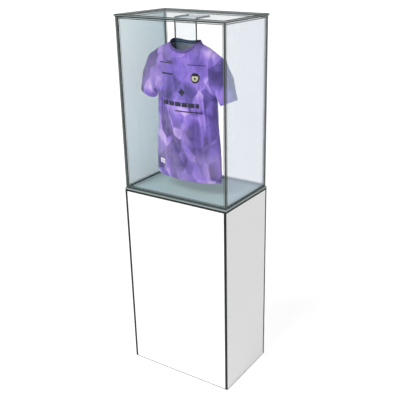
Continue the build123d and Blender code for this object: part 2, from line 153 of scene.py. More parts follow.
class Finish:
    """One material, ending in a Principled shader."""

    def __init__(self, name, **constants):
        self.material = bpy.data.materials.new(name)
        self.material.use_nodes = True
        self.tree = self.material.node_tree
        self.shader = self.tree.nodes["Principled BSDF"]
        for name, value in constants.items():
            self.shader.inputs[name.replace("_", " ")].default_value = value

    def node(self, kind, settings=None, inputs=None, output=0):
        made = self.tree.nodes.new(kind)
        for name, value in (settings or {}).items():
            if name == "stops":
                self.set_stops(made.color_ramp, value)
            else:
                setattr(made, name, value)
        for place, value in (inputs or {}).items():
            if isinstance(value, Wire):
                self.tree.links.new(value.socket, made.inputs[place])
            else:
                made.inputs[place].default_value = value
        return Wire(self, made.outputs[output])

    def set_stops(self, ramp, stops):
        while len(ramp.elements) < len(stops):
            ramp.elements.new(0.5)
        for element, (place, colour) in zip(ramp.elements, stops):
            element.position, element.color = place, (*colour, 1)

    def sum(self, operation, *values):
        return self.node("ShaderNodeMath", {"operation": operation}, dict(enumerate(values)))

    def feed(self, **wires):
        for name, wire in wires.items():
            self.tree.links.new(wire.socket, self.shader.inputs[name.replace("_", " ")])

    def place(self):
        """Where on the object a point is, in metres, as three wires."""
        where = self.node("ShaderNodeTexCoord", output="Object")
        return [self.node("ShaderNodeSeparateXYZ", None, {0: where}, axis) for axis in "XYZ"]

    def facing(self):
        """Which way a surface faces in the object's own axes, as three wires."""
        normal = self.node("ShaderNodeTexCoord", output="Normal")
        return [self.node("ShaderNodeSeparateXYZ", None, {0: normal}, axis) for axis in "XYZ"]

    def ramp(self, value, start, end, low=0.0, high=1.0):
        """A smooth step from low to high while value goes from start to end."""
        return self.node("ShaderNodeMapRange", {"interpolation_type": "SMOOTHSTEP"},
                         {0: value, 1: start, 2: end, 3: low, 4: high})

    def within(self, value, centre, half, soft):
        """1 where value is within half of centre, fading over soft."""
        return self.ramp(abs(value - centre), half - soft, half + soft, 1.0, 0.0)

    def blend(self, amount, one, two):
        """A colour that goes from one to two."""
        one, two = [c if isinstance(c, Wire) else (*c, 1) for c in (one, two)]
        return self.node("ShaderNodeMix", {"data_type": "RGBA"}, {0: amount, 6: one, 7: two},
                         output=2)

    def noise(self, scale, detail=2.0, where=None, roughness=0.5):
        where = where or self.node("ShaderNodeTexCoord", output="Object")
        return self.node("ShaderNodeTexNoise", None,
                         {"Vector": where, "Scale": scale, "Detail": detail,
                          "Roughness": roughness})

    def bump(self, height, distance, strength=1.0):
        made = self.node("ShaderNodeBump", None,
                         {"Height": height, "Distance": distance, "Strength": strength})
        self.feed(Normal=made)


def paint(finish, *nodes):
    for name in nodes:
        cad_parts[name].data.materials.clear()
        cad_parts[name].data.materials.append(finish.material)
    print(finish.material.name, "on", len(nodes), "pieces")


def linear(red, green, blue):
    """A colour as it reads on screen, from 0 to 255, turned into the light it stands for."""
    return tuple((c / 255 / 12.92) if c < 10.3 else ((c / 255 + 0.055) / 1.055) ** 2.4
                 for c in (red, green, blue))


print("finishes can now be written as sums")

# %% [markdown]
# The floor is a plain pale sheet, 60 metres square, so its edge lies far behind the case. Its own
# glow keeps the case's shadow faint.

# %% Floor
HALF_FLOOR = 30.0
CORNERS = ((-1, -1), (1, -1), (1, 1), (-1, 1))
sheet_mesh = bpy.data.meshes.new("floor")
sheet_mesh.from_pydata([(x * HALF_FLOOR, y * HALF_FLOOR, 0) for x, y in CORNERS],
                       [], [(0, 1, 2, 3)])
floor = bpy.data.objects.new("floor", sheet_mesh)
bpy.context.collection.objects.link(floor)
pale = Finish("pale_floor", Base_Color=(0.38, 0.38, 0.38, 1), Roughness=0.9,
              Emission_Color=(1, 1, 1, 1), Emission_Strength=0.84)
floor.data.materials.append(pale.material)
print("floor", 2 * HALF_FLOOR, "metres square")

# %% [markdown]
# Glass is clear when you look straight through it, and shows its own blue-green when you look
# along it, because the light then runs further inside the plate. `Layer Weight` tells how slanted
# the view is. Two plates that are bonded at a corner show the joint: a dark line at the outer
# arris, a second one where the inner faces meet, and grey glass between the two.

# %% Glass
PLATE = 0.010
OUTER_LINE, INNER_LINE, ARRIS_LINE = 0.0030, 0.0020, 0.0030    # widths of the dark lines
LINE_FADE, INNER_FADE, ARRIS_FADE = 0.0005, 0.0002, 0.0004     # how softly each line ends
STRAIGHT, SLANTED = 0.20, 0.54      # Layer Weight where a pane starts and ends getting fuller
BOND_COVER, LINE_COVER, CUT_COVER = 0.35, 0.97, 0.90
FACE_ROUGH, CUT_ROUGH = 0.03, 0.35
INK = linear(8, 10, 10)


def from_rim(finish, node, axis):
    """How far a point of a plate is from the plate's nearest cut edge."""
    lowest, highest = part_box(node)
    where, nearest = finish.place(), None
    for across in range(3):
        if across != axis:
            middle = (lowest[across] + highest[across]) / 2
            gap = (highest[across] - lowest[across]) / 2 - abs(where[across] - middle)
            nearest = gap if nearest is None else nearest.lesser(gap)
    return nearest


def glass(name, node, axis, tint, clear, slanted, outer=OUTER_LINE, gloss=0.35, **constants):
    """A pane's finish. axis is its thin direction, clear and slanted its cover in the two views."""
    finish = Finish(name, IOR=1.45, Specular_IOR_Level=gloss, **constants)
    lowest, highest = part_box(node)
    cut = abs(finish.facing()[axis]) < 0.6
    from_middle = abs(finish.place()[axis] - (lowest[axis] + highest[axis]) / 2)
    rim = from_rim(finish, node, axis)
    line = finish.ramp(rim, outer, outer + LINE_FADE, 1.0, 0.0).either(
        finish.within(rim, PLATE, INNER_LINE / 2, INNER_FADE))
    arris_from = PLATE / 2 - ARRIS_LINE
    arris = finish.ramp(from_middle, arris_from, arris_from + ARRIS_FADE)
    line = line * (1 - cut) + arris * cut
    bond = finish.ramp(rim, PLATE, PLATE + LINE_FADE, 1.0, 0.0)
    view = finish.node("ShaderNodeLayerWeight", None, {"Blend": 0.5}, "Facing")
    cover = finish.ramp(view, STRAIGHT, SLANTED, clear, slanted)
    cloud = finish.noise(3.0)
    body = finish.blend(cloud, linear(*[c - 6 for c in tint]), linear(*tint))
    grey = finish.blend(cloud, linear(120, 134, 132), linear(134, 148, 146))
    plate = finish.blend(bond.either(cut), body, grey)
    drawn = cover.either(bond * BOND_COVER).either(line * LINE_COVER).either(cut * CUT_COVER)
    finish.feed(Base_Color=finish.blend(line, plate, INK), Alpha=drawn,
                Roughness=finish.ramp(cut, 0, 1, FACE_ROUGH, CUT_ROUGH))
    paint(finish, node)


# The hood's five panes are the same glass; their different tints and covers are painted light and
# shade: the left pane is painted darker and bluer as shade, the right and top panes paler as light.
glass("front_pane", "hood_front_glass", 1, (150, 175, 178), 0.01, 0.20)
glass("back_pane", "hood_back_glass", 1, (150, 175, 178), 0.01, 0.20)
glass("left_pane", "hood_left_glass", 0, (110, 190, 205), 0.03, 0.68, gloss=0.25)
glass("right_pane", "hood_right_glass", 0, (214, 230, 246), 0.02, 0.34)
glass("top_pane", "hood_top_glass", 2, (206, 226, 230), 0.03, 0.22)
# The floor pane's glow is painted light on the shaded hollow beneath it. Its grey-green is the
# glass's own tint, laid on far fuller than clear glass is, as painted shade of that hollow.
glass("floor_pane", "floor_glass", 2, (180, 200, 200), 0.70, 0.82, 0.0022,
      Emission_Color=(*linear(176, 196, 198), 1), Emission_Strength=0.26)

# %% [markdown]
# The hanger, the blocks that centre the hood and the form are clear acrylic. It is as clear as
# glass but its edges are polished and look darker and bluer.

# %% Acrylic
HANGER_ARRIS, NO_ARRIS = 0.0035, 1.0


def acrylic(name, nodes, body, slanted, rim, arris=NO_ARRIS):
    """A clear finish. Cut ends across X look dark, and so does all that lies past arris in X."""
    finish = Finish(name, Roughness=0.05, IOR=1.49)
    view = finish.node("ShaderNodeLayerWeight", None, {"Blend": 0.5}, "Facing")
    edge = (abs(finish.facing()[0]) > 0.7).either(abs(finish.place()[0]) > arris)
    haze = finish.noise(14.0)
    cover = finish.ramp(view, 0.1, 0.8, body, slanted) + haze * 0.02
    finish.feed(Base_Color=finish.blend(edge, linear(84, 136, 166), linear(16, 18, 20)),
                Alpha=finish.node("ShaderNodeMix", None, {0: edge, 2: cover, 3: rim}))
    paint(finish, *nodes)


acrylic("hanger_acrylic", ["hanger_plate", "hanger_bond"], 0.10, 0.26, 0.95,
        arris=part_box("hanger_plate")[1].x - HANGER_ARRIS)
acrylic("block_acrylic", ["corner_locators"], 0.10, 0.3, 0.4)
acrylic("form_acrylic", ["form_front", "form_back", "form_left_arm", "form_right_arm",
                         "form_spacers"], 0.02, 0.06, 0.06)

# %% [markdown]
# The plinth is compact laminate: a white melamine face on a core of black paper. The face is
# slightly uneven, as pressed laminate is, and the black core shows wherever a panel is cut, and
# as a thin line along the bevel round its face. On the inside the sheet is painted plain grey, as
# painted shade for the plinth's hollow.

# %% Laminate
BEVEL, HALF_CORE, CORE_FADE = 0.0036, 0.0040, 0.0006


def laminate(name, node, axis, inwards):
    """axis is the panel's thin direction; inwards is the sign of its inner side."""
    finish = Finish(name, IOR=1.5, Specular_IOR_Level=0.3)
    lowest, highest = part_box(node)
    middle = (lowest[axis] + highest[axis]) / 2
    out = finish.facing()[axis]
    cut = abs(out) < 0.5
    core = finish.within(finish.place()[axis], middle, HALF_CORE, CORE_FADE) * cut
    rim = from_rim(finish, node, axis)
    core = core.either(finish.ramp(rim, BEVEL, BEVEL + CORE_FADE, 1.0, 0.0))
    inside = (out * inwards) > 0.5
    grain = finish.noise(900.0, 2.0)
    cast = finish.noise(2.5, 3.0)
    face = finish.blend(cast, (0.93, 0.93, 0.935), (0.955, 0.955, 0.955))
    # The inside faces are painted grey: painted shade for the plinth's hollow.
    face = finish.blend(inside, face, linear(170, 176, 176))
    finish.feed(Base_Color=finish.blend(core, face, linear(12, 12, 13)),
                Roughness=0.34 + grain * 0.12)
    finish.bump(grain, 0.00008, 0.5)
    paint(finish, node)


laminate("front_laminate", "front_panel", 1, 1)
laminate("back_laminate", "back_panel", 1, -1)
laminate("left_laminate", "left_panel", 0, 1)
laminate("right_laminate", "right_panel", 0, -1)

# %% [markdown]
# Inside stand a plywood base board and its battens, and rails that are painted pale grey. Veneer
# grain is noise stretched along the board, and the plies show as stripes on the cut edges.

# %% Plywood
ACROSS_GRAIN, ALONG_GRAIN, PLIES = 28.0, 2.2, 2100.0


def plywood(name, nodes, along):
    finish = Finish(name, Roughness=0.6)
    stretch = [ACROSS_GRAIN] * 3
    stretch[along] = ALONG_GRAIN
    where = finish.node("ShaderNodeTexCoord", output="Object")
    where = finish.node("ShaderNodeMapping", None, {"Vector": where, "Scale": stretch})
    grain = finish.noise(6.0, 6.0, where, 0.65)
    ply = finish.ramp((finish.place()[2] * PLIES).sine(), -0.2, 0.2)
    cut = abs(finish.facing()[2]) < 0.5
    wood = finish.blend(grain, linear(196, 172, 138), linear(226, 208, 178))
    finish.feed(Base_Color=finish.blend(cut * ply * 0.35, wood, linear(140, 104, 70)))
    finish.bump(grain, 0.0002, 0.4)
    paint(finish, *nodes)


def whitewash(name, nodes):
    """Rails painted pale grey, because they can be seen through the floor glass."""
    finish = Finish(name, Roughness=0.55)
    grain = finish.noise(60.0, 5.0)
    finish.feed(Base_Color=finish.blend(grain, linear(214, 220, 219), linear(236, 240, 240)))
    finish.bump(grain, 0.00015, 0.4)
    paint(finish, *nodes)


plywood("base_plywood", ["base_board", "base_battens"], 0)
whitewash("painted_rails", ["top_rail_front", "top_rail_back", "top_rail_left", "top_rail_right"])

# %% [markdown]
# Metal and rubber. Brushed metal is noise stretched along the piece; rubber is nearly black, and
# dull, with a fine grain.

# %% Metal and rubber
def metal(name, nodes, colour, roughness):
    finish = Finish(name, Metallic=1.0)
    where = finish.node("ShaderNodeTexCoord", output="Object")
    where = finish.node("ShaderNodeMapping", None, {"Vector": where, "Scale": (1, 1, 0.06)})
    brushed = finish.noise(700.0, 2.0, where)
    dull = finish.noise(30.0, 3.0)
    finish.feed(Base_Color=finish.blend(dull, linear(*[c * 0.82 for c in colour]),
                                        linear(*colour)),
                Roughness=roughness + brushed * 0.18)
    finish.bump(brushed, 0.00005, 0.4)
    paint(finish, *nodes)


def rubber(name, nodes, shade):
    finish = Finish(name)
    grain = finish.noise(1200.0, 2.0)
    finish.feed(Base_Color=finish.blend(grain, linear(shade, shade, shade),
                                        linear(shade + 14, shade + 14, shade + 14)),
                Roughness=0.6 + grain * 0.2)
    finish.bump(grain, 0.0001, 0.5)
    paint(finish, *nodes)


feet = ("front_left", "front_right", "back_left", "back_right")
metal("mill_aluminium", ["corner_angles"], (188, 189, 192), 0.35)
zinc = ["angle_screws", "rail_screws", "hanger_studs"] + [f"foot_stud_{foot}" for foot in feet]
metal("bright_zinc", zinc, (176, 178, 182), 0.25)
metal("turned_brass", ["foot_inserts"], (200, 166, 96), 0.3)
metal("black_zinc", [f"foot_pad_{foot}" for foot in feet], (70, 70, 72), 0.4)
rubber("rim_rubber", ["rim_gasket"], 4)
rubber("seal_rubber", ["hood_seal"], 52)

# %% [markdown]
# Now the jersey. A shirt is a body tube with two sleeve tubes sewn in. We draw both as rings of
# points, from the same widths, depths and drops as the CAD shirt, join them, and let a voxel
# remesh weld them into one skin of even squares, which is what folds and seams need.

# %% Jersey measures
CHEST_WIDTH, HEM_WIDTH = 370, 424   # of the filled shirt, in millimetres
TIP_DROP, CUFF_SHARE, CUFF_DROP = 0.265, 0.235, 0.301   # the cuff's outer and inner end
front_low, front_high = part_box("jersey_front")
tip_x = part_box("jersey_right_sleeve")[1].x
hem_z, collar_z, middle_y = front_low.z, front_high.z + 0.003, front_high.y
half_chest = front_high.x * CHEST_WIDTH / HEM_WIDTH
reach = tip_x - half_chest
cuff_out = Vector((tip_x, middle_y, collar_z - TIP_DROP))
cuff_in = Vector((half_chest + CUFF_SHARE * reach, middle_y, collar_z - CUFF_DROP))
cuff_normal = Vector((0, 1, 0)).cross((cuff_out - cuff_in).normalized())
# drop below the collar's top, half width, half depth
BODY = [(-0.03, 0.060, 0.038), (0.003, 0.088, 0.042), (0.018, 0.122, 0.046), (0.035, 0.163, 0.050),
        (0.060, 0.180, 0.056), (0.095, 0.183, 0.062), (0.155, 0.183, 0.069), (0.315, 0.185, 0.075),
        (0.395, 0.188, 0.072), (0.475, 0.197, 0.066), (0.575, 0.207, 0.058), (0.715, 0.212, 0.050),
        (0.745, 0.213, 0.050)]
# share of the way to the tip and drop of the sleeve's upper and lower line, half depth
SLEEVE = [((-0.40, 0.034), (-0.40, 0.235), 0.054), ((-0.19, 0.036), (-0.19, 0.258), 0.054),
          ((0.365, 0.069), (0.05, 0.249), 0.050), ((0.752, 0.150), (0.130, 0.275), 0.044),
          ((1.0, TIP_DROP), (CUFF_SHARE, CUFF_DROP), 0.036)]
print("jersey", round(2 * tip_x, 3), "wide", round(collar_z - hem_z, 3), "long")

# %% [markdown]
# The rows above are turned into many close rings, and the rings into three closed tubes. The last
# ring of a sleeve runs on past the cuff, so that the cuff can be cut clean later on.

# %% Body and sleeves as rings
RING_POINTS, RINGS_BETWEEN, VOXEL, PAST_CUFF = 72, 10, 0.0055, 0.03


def between(rows, steps):
    """Rows of numbers with evenly spaced rows added between them."""
    rows = np.array(rows, float)
    at = np.linspace(0, len(rows) - 1, (len(rows) - 1) * steps + 1)
    return np.array([np.interp(at, range(len(rows)), column) for column in rows.T]).T


def bridge(mesh, loops, smooth=False):
    """Faces between each closed loop of points and the next one."""
    for one, two in zip(loops, loops[1:]):
        for k in range(len(one)):
            nxt = (k + 1) % len(one)
            mesh.faces.new((one[k], one[nxt], two[nxt], two[k])).smooth = smooth


def tube(rings):
    """A closed mesh through rings of points, with a cap at each end."""
    mesh = bmesh.new()
    loops = [[mesh.verts.new(p) for p in ring] for ring in rings]
    bridge(mesh, loops)
    mesh.faces.new(loops[0][::-1])
    mesh.faces.new(loops[-1])
    return mesh


TURNS = [2 * math.pi * k / RING_POINTS for k in range(RING_POINTS)]


def body_rings():
    return [[(w * math.cos(t), middle_y + d * math.sin(t), collar_z - drop) for t in TURNS]
            for drop, w, d in between(BODY, RINGS_BETWEEN)]


def sleeve_rings(side):
    flat = [(*up, *low_point, depth) for up, low_point, depth in SLEEVE]
    rings = []
    for up_share, up_drop, low_share, low_drop, depth in between(flat, RINGS_BETWEEN):
        up, low_point = [Vector((half_chest + share * reach, middle_y, collar_z - drop))
                         for share, drop in ((up_share, up_drop), (low_share, low_drop))]
        centre, half = (up + low_point) / 2, (up - low_point) / 2
        rings.append([centre + half * math.cos(t) + Vector((0, depth * math.sin(t), 0))
                      for t in TURNS])
    rings.append([point + cuff_normal * PAST_CUFF for point in rings[-1]])
    return [[(side * p.x, p.y, p.z) for p in ring] for ring in rings]


def as_object(name, mesh):
    data = bpy.data.meshes.new(name)
    bmesh.ops.recalc_face_normals(mesh, faces=mesh.faces)
    mesh.to_mesh(data)
    mesh.free()
    made = bpy.data.objects.new(name, data)
    bpy.context.collection.objects.link(made)
    return made


def applied(source, *modifiers):
    """source's mesh with modifiers applied; source is deleted."""
    for kind, settings in modifiers:
        modifier = source.modifiers.new(kind, kind)
        for name, value in settings.items():
            setattr(modifier, name, value)
    graph = bpy.context.evaluated_depsgraph_get()
    data = bpy.data.meshes.new_from_object(source.evaluated_get(graph))
    bpy.data.objects.remove(source)
    return data


whole = bmesh.new()
for rings in (body_rings(), sleeve_rings(1), sleeve_rings(-1)):
    part = tube(rings)
    bmesh.ops.recalc_face_normals(part, faces=part.faces)
    spare = bpy.data.meshes.new("spare")
    part.to_mesh(spare)
    part.free()
    whole.from_mesh(spare)
    bpy.data.meshes.remove(spare)
skin = applied(as_object("skin", whole),
               ("REMESH", {"mode": "VOXEL", "voxel_size": VOXEL}),
               ("SMOOTH", {"factor": 0.6, "iterations": 14}))
smooth_skin = skin.copy()
print("skin", len(skin.vertices), "points")

# %% [markdown]
# A worn knit shirt is never a smooth balloon. Its folds start where cloth is pulled or pushed:
# at the armpits, over the chest and down towards the hem. Each fold here is a soft groove along a
# line, with a ridge beside it, pushed in along the skin's own normals.

# %% Folds
# start and end as (x, drop), depth and half width, on the front (-1), the back (1) or both (0)
FOLDS = [
    ((0.168, 0.235), (0.095, 0.120), 0.0060, 0.010, -1),
    ((0.160, 0.262), (0.075, 0.215), 0.0040, 0.011, -1),
    ((-0.165, 0.245), (-0.090, 0.165), 0.0050, 0.012, -1),
    ((-0.170, 0.270), (-0.080, 0.250), 0.0035, 0.012, 0),
    ((0.004, 0.150), (0.000, 0.300), 0.0030, 0.014, -1),
    ((-0.120, 0.330), (-0.010, 0.560), 0.0050, 0.022, -1),
    ((0.060, 0.400), (0.120, 0.700), 0.0060, 0.022, -1),
    ((-0.060, 0.470), (-0.090, 0.715), 0.0060, 0.020, -1),
    ((0.150, 0.330), (0.172, 0.560), 0.0040, 0.016, 0),
    ((-0.170, 0.380), (-0.160, 0.640), 0.0045, 0.015, 0),
    ((0.020, 0.520), (0.015, 0.715), 0.0040, 0.018, -1),
    ((0.120, 0.300), (0.010, 0.450), 0.0030, 0.020, 1),
    ((-0.100, 0.250), (-0.040, 0.650), 0.0055, 0.024, 1),
    ((0.090, 0.350), (0.060, 0.715), 0.0060, 0.022, 1),
    ((0.235, 0.110), (0.215, 0.230), 0.0050, 0.014, 0),
    ((-0.240, 0.120), (-0.222, 0.250), 0.0050, 0.014, 0),
    ((0.205, 0.160), (0.240, 0.285), 0.0040, 0.010, 0),
    ((-0.198, 0.150), (-0.235, 0.280), 0.0045, 0.011, 0),
]
RIDGE = 0.55            # the ridge beside a fold, as a share of its depth
HEM_WAVE, WAVES, WAVE_START, HEM_WAVE_FROM, HEM_WAVE_OVER = 0.0028, 55, 1.3, 0.45, 0.27


def rows_of(points, value):
    """value, such as the place, of each point in a mesh's list, one row each."""
    flat = np.empty(len(points) * 3)
    points.foreach_get(value, flat)
    return flat.reshape(-1, 3)


def along(points, start, end):
    """How far each point is from a line, and its share of the way along it."""
    start, line = np.array(start), np.array(end) - np.array(start)
    share = np.clip((points - start) @ line / (line @ line), 0, 1)
    return np.linalg.norm(points - start - share[:, None] * line, axis=1), share


def fold(mesh):
    place, normal = rows_of(mesh.vertices, "co"), rows_of(mesh.vertex_normals, "vector")
    flat = np.stack([place[:, 0], collar_z - place[:, 2]], axis=1)
    push = np.zeros(len(place))
    for start, end, depth, half_width, side in FOLDS:
        far, share = along(flat, start, end)
        taper = np.sin(np.pi * np.clip(share * 0.86 + 0.07, 0, 1))
        ridge = RIDGE * np.exp(-((far - 2 * half_width) / half_width) ** 2)
        groove = np.exp(-(far / half_width) ** 2) - ridge
        faces_it = np.clip(0.5 + side * normal[:, 1] * 1.5, 0, 1) if side else 1.0
        push -= depth * groove * taper * faces_it
    near_hem = np.clip((flat[:, 1] - HEM_WAVE_FROM) / HEM_WAVE_OVER, 0, 1) ** 2
    wave = np.sin(flat[:, 0] * WAVES + WAVE_START) * near_hem
    push += HEM_WAVE * wave
    place += normal * push[:, None]
    mesh.vertices.foreach_set("co", place.ravel())
    mesh.update()
    print("folds", len(FOLDS), "deepest", round(float(-push.min()) * 1000, 1), "mm")


fold(skin)

# %% [markdown]
# Cutting the cloth is the same job every time: a level function is below zero on one side of a
# line. We put a point wherever an edge crosses zero, join the new points across each face, and
# then either throw one side away, as at the neck, cuffs and hem, or only score the line, as at
# the seams, so that the panels come apart along it.

# %% Cut and score
NECK_HALF, NECK_DIP, BACK_DIP, NECK_TOP = 0.083, 0.052, 0.020, 0.009
SEAM_DROPS = (0.020, 0.080, 0.150, 0.210, 0.250, 0.270, 0.301, 0.320)
SEAM_ACROSS = (0.168, 0.160, 0.160, 0.168, 0.182, 0.192, 0.198, 0.400)
CUFF_CLEAR, CUFF_LOWEST = 0.012, 0.36   # a cuff is cut only past the body and above this drop
NECK_BLEND = 0.03       # how far in Y the neck's front dip takes to become its back dip


def above_hem(p): return p.z - hem_z


def inside_cuff(p):
    if abs(p.x) < half_chest + CUFF_CLEAR or collar_z - p.z > CUFF_LOWEST:
        return 1.0
    return -(Vector((abs(p.x), p.y, p.z)) - cuff_out).dot(cuff_normal)


def outside_neck(p):
    behind = min(1.0, max(0.0, (p.y - middle_y) / NECK_BLEND + 0.5))
    dip = NECK_DIP + (BACK_DIP - NECK_DIP) * behind * behind * (3 - 2 * behind)
    down = (collar_z - p.z) / dip
    return min((p.x / NECK_HALF) ** 2 + down * abs(down) - 1, (collar_z - NECK_TOP - p.z) / dip)


def body_side(p):
    return float(np.interp(collar_z - p.z, SEAM_DROPS, SEAM_ACROSS)) - abs(p.x)


def front_side(p): return middle_y - p.y


def score(mesh, level):
    """Points where level is zero, joined across the faces; a level that jumps has no zero."""
    value = {v: level(v.co) for v in mesh.verts}
    fresh = []
    for edge in list(mesh.edges):
        one, two = value[edge.verts[0]], value[edge.verts[1]]
        if one * two < 0 and abs(one - two) < 1:
            fresh.append(bmesh.utils.edge_split(edge, edge.verts[0], one / (one - two))[1])
    bmesh.ops.connect_verts(mesh, verts=fresh)


def cut_away(mesh, level):
    score(mesh, level)
    doomed = [f for f in mesh.faces if level(f.calc_center_median()) < 0]
    bmesh.ops.delete(mesh, geom=doomed, context="FACES")


shirt = bmesh.new()
shirt.from_mesh(skin)
for level in (above_hem, inside_cuff, outside_neck):
    cut_away(shirt, level)
print("shirt", len(shirt.faces), "faces")

# %% [markdown]
# Sculpted folds only go so far, so the shirt is then hung for real. The finished skin, cut open at
# neck, cuffs and hem, becomes a cloth a little larger than the body under it. Its shoulders are
# pinned, a smaller copy of the smooth skin is the form it hangs on, and gravity and its own extra
# width make the wrinkles. Only the part of each move that goes in or out is kept, up to a cap, so
# the shirt keeps its length and stays in its own space.

# %% Drape
FRAMES, EXTRA, MOST_MOVED, FORM_INSIDE = 20, 0.05, 0.009, 0.008
CLOSEST, FRICTION = 0.002, 12
PINNED_DROP, PINNED_FADE = 0.07, 0.05   # shoulders start to be held at this drop
KNIT_CLOTH = {"quality": 5, "mass": 0.22, "tension_stiffness": 12, "compression_stiffness": 12,
              "shear_stiffness": 6, "bending_stiffness": 0.03, "tension_damping": 8,
              "compression_damping": 8, "vertex_group_mass": "held", "shrink_min": -EXTRA}


def drape(mesh):
    """mesh after hanging as cloth on a smaller copy of the smooth skin."""
    core = bpy.data.objects.new("core", smooth_skin)
    cloth = bpy.data.objects.new("cloth", mesh)
    for made in (core, cloth):
        bpy.context.collection.objects.link(made)
    push = core.modifiers.new("push", "DISPLACE")
    push.strength, push.mid_level = -FORM_INSIDE, 0.0
    core.modifiers.new("collision", "COLLISION")
    core.collision.thickness_outer = CLOSEST
    core.collision.cloth_friction = FRICTION
    start = rows_of(mesh.vertices, "co")
    held = np.clip((start[:, 2] - (collar_z - PINNED_DROP)) / PINNED_FADE, 0, 1)
    group = cloth.vertex_groups.new(name="held")
    for index in np.nonzero(held > 0)[0]:
        group.add([int(index)], float(held[index]), "REPLACE")
    knit_cloth = cloth.modifiers.new("cloth", "CLOTH")
    for name, value in KNIT_CLOTH.items():
        setattr(knit_cloth.settings, name, value)
    knit_cloth.collision_settings.distance_min = CLOSEST
    knit_cloth.collision_settings.use_self_collision = False
    knit_cloth.point_cache.frame_end = FRAMES
    for number in range(1, FRAMES + 1):
        bpy.context.scene.frame_set(number)
    graph = bpy.context.evaluated_depsgraph_get()
    hung = bpy.data.meshes.new_from_object(cloth.evaluated_get(graph))
    end, normal = rows_of(hung.vertices, "co"), rows_of(mesh.vertex_normals, "vector")
    out = ((end - start) * normal).sum(axis=1)
    out -= out.mean()
    out = MOST_MOVED * np.tanh(out / MOST_MOVED)
    hung.vertices.foreach_set("co", (start + normal * out[:, None]).ravel())
    hung.update()
    bpy.data.objects.remove(cloth)
    bpy.data.objects.remove(core)
    bpy.context.scene.frame_set(1)
    print("hung", FRAMES, "frames, folds", round(float(out.min()) * 1000, 1), "to",
          round(float(out.max()) * 1000, 1), "mm")
    return hung


open_skin = bpy.data.meshes.new("open_skin")
shirt.to_mesh(open_skin)
shirt.free()
shirt = bmesh.new()
shirt.from_mesh(drape(open_skin))
print("ready to sew", len(shirt.faces), "faces")

# %% [markdown]
# The hung shirt is scored along its seams, and the seams are pulled in a little.

# %% Seams
SEAM_HALF, SEAM_DEEP, SPECK = 0.0006, 0.0012, 0.0004
for level in (body_side, front_side):
    score(shirt, level)
bmesh.ops.dissolve_degenerate(shirt, dist=SPECK, edges=shirt.edges)
for v in shirt.verts:       # a sewn seam lies a little lower than the cloth beside it
    on_side = abs(front_side(v.co)) < SEAM_HALF and body_side(v.co) > 0
    if on_side or abs(body_side(v.co)) < SEAM_HALF:
        v.co -= v.normal * SEAM_DEEP
print("seams scored", len(shirt.faces), "faces")

# %% [markdown]
# Each pattern piece becomes its own object: front, back and two sleeves. `Solidify` gives the knit
# its thickness, with the plain grey wrong side of the cloth on the inside.

# %% Panels
KNIT = 0.0012


def panel(name, belongs, finishes):
    """The part of the shirt whose faces belong, as a sheet of knit, and its area."""
    part = shirt.copy()
    doomed = [f for f in part.faces if not belongs(f.calc_center_median())]
    bmesh.ops.delete(part, geom=doomed, context="FACES")
    for face in part.faces:
        face.smooth = True
    area = sum(face.calc_area() for face in part.faces)
    data = bpy.data.meshes.new(name)
    part.to_mesh(data)
    part.free()
    plain = bpy.data.objects.new("plain", data)
    bpy.context.collection.objects.link(plain)
    for finish in finishes:
        data.materials.append(finish.material)
    solid = applied(plain, ("SOLIDIFY", {"thickness": KNIT, "offset": -1.0, "material_offset": 1,
                                         "material_offset_rim": 0}))
    made = bpy.data.objects.new(name, solid)
    bpy.context.collection.objects.link(made)
    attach(made, "hood")
    return made, area


print("panels are", KNIT * 1000, "mm thick")

# %% [markdown]
# The print is a crystal pattern: cells from six to twenty centimetres long, each its own purple
# with its own gradient across it, and soft pale clouds over them. The fine knit shows as bump.
# Plain bars stand where a club shirt carries its lettering.

# %% Knit print
PURPLES = [(0.00, linear(70, 52, 124)), (0.28, linear(104, 82, 168)), (0.50, linear(132, 106, 206)),
           (0.72, linear(164, 134, 226)), (1.00, linear(214, 186, 250))]
WALES, COURSES = 3600.0, 4200.0         # stitches across and up, in radians a metre
HEM_STITCH, HALF_THREAD, THREAD_FADE, DASHES = 0.020, 0.0005, 0.0003, 1900.0
TURNED, TURNED_END = 0.0190, 0.0205     # how far up the cloth is double
BAR_FADE = 0.0006
# plain marks, in metres: the diamond's middle and half size, then bars by their middle, half width
# and half height, the last of them a row of blocks
DIAMOND = (0.012, 1.630, 0.020)
BLOCKS = [(-0.092, 0.018), (-0.052, 0.017), (-0.012, 0.018), (0.028, 0.017), (0.068, 0.018),
          (0.101, 0.010)]
CHEST_BARS = [(-0.090, 1.768, 0.044, 0.0026), (-0.068, 1.776, 0.018, 0.0030),
              (-0.083, 1.715, 0.040, 0.0042), (0.096, 1.768, 0.052, 0.0022),
              (0.046, 1.534, 0.076, 0.0034)]
CHEST_BARS += [(across, 1.568, half, 0.011) for across, half in BLOCKS]


def facets(finish, where, size, seed, melt):
    """A tone from 0 to 1 that jumps from cell to cell and slopes across each one."""
    where = finish.node("ShaderNodeMapping", None, {"Vector": where, "Location": (seed, seed, 0),
                                                    "Rotation": (0, 0.5 + seed, 0),
                                                    "Scale": (1 / size, 0.2 / size, 0.62 / size)})
    cell = {"Vector": where, "Scale": 1.0, "Smoothness": melt}
    soft = {"feature": "SMOOTH_F1"}
    colour = finish.node("ShaderNodeTexVoronoi", soft, cell, 1)
    centre = finish.node("ShaderNodeTexVoronoi", soft, cell, 2)
    tone, way, tilt = [finish.node("ShaderNodeSeparateColor", None, {0: colour}, k)
                       for k in range(3)]
    offset = finish.node("ShaderNodeVectorMath", {"operation": "SUBTRACT"}, {0: where, 1: centre})
    right, _, up = [finish.node("ShaderNodeSeparateXYZ", None, {0: offset}, k) for k in range(3)]
    return tone * 0.55 + 0.22 + (right * (way - 0.5) + up * (tilt - 0.5)) * 1.5


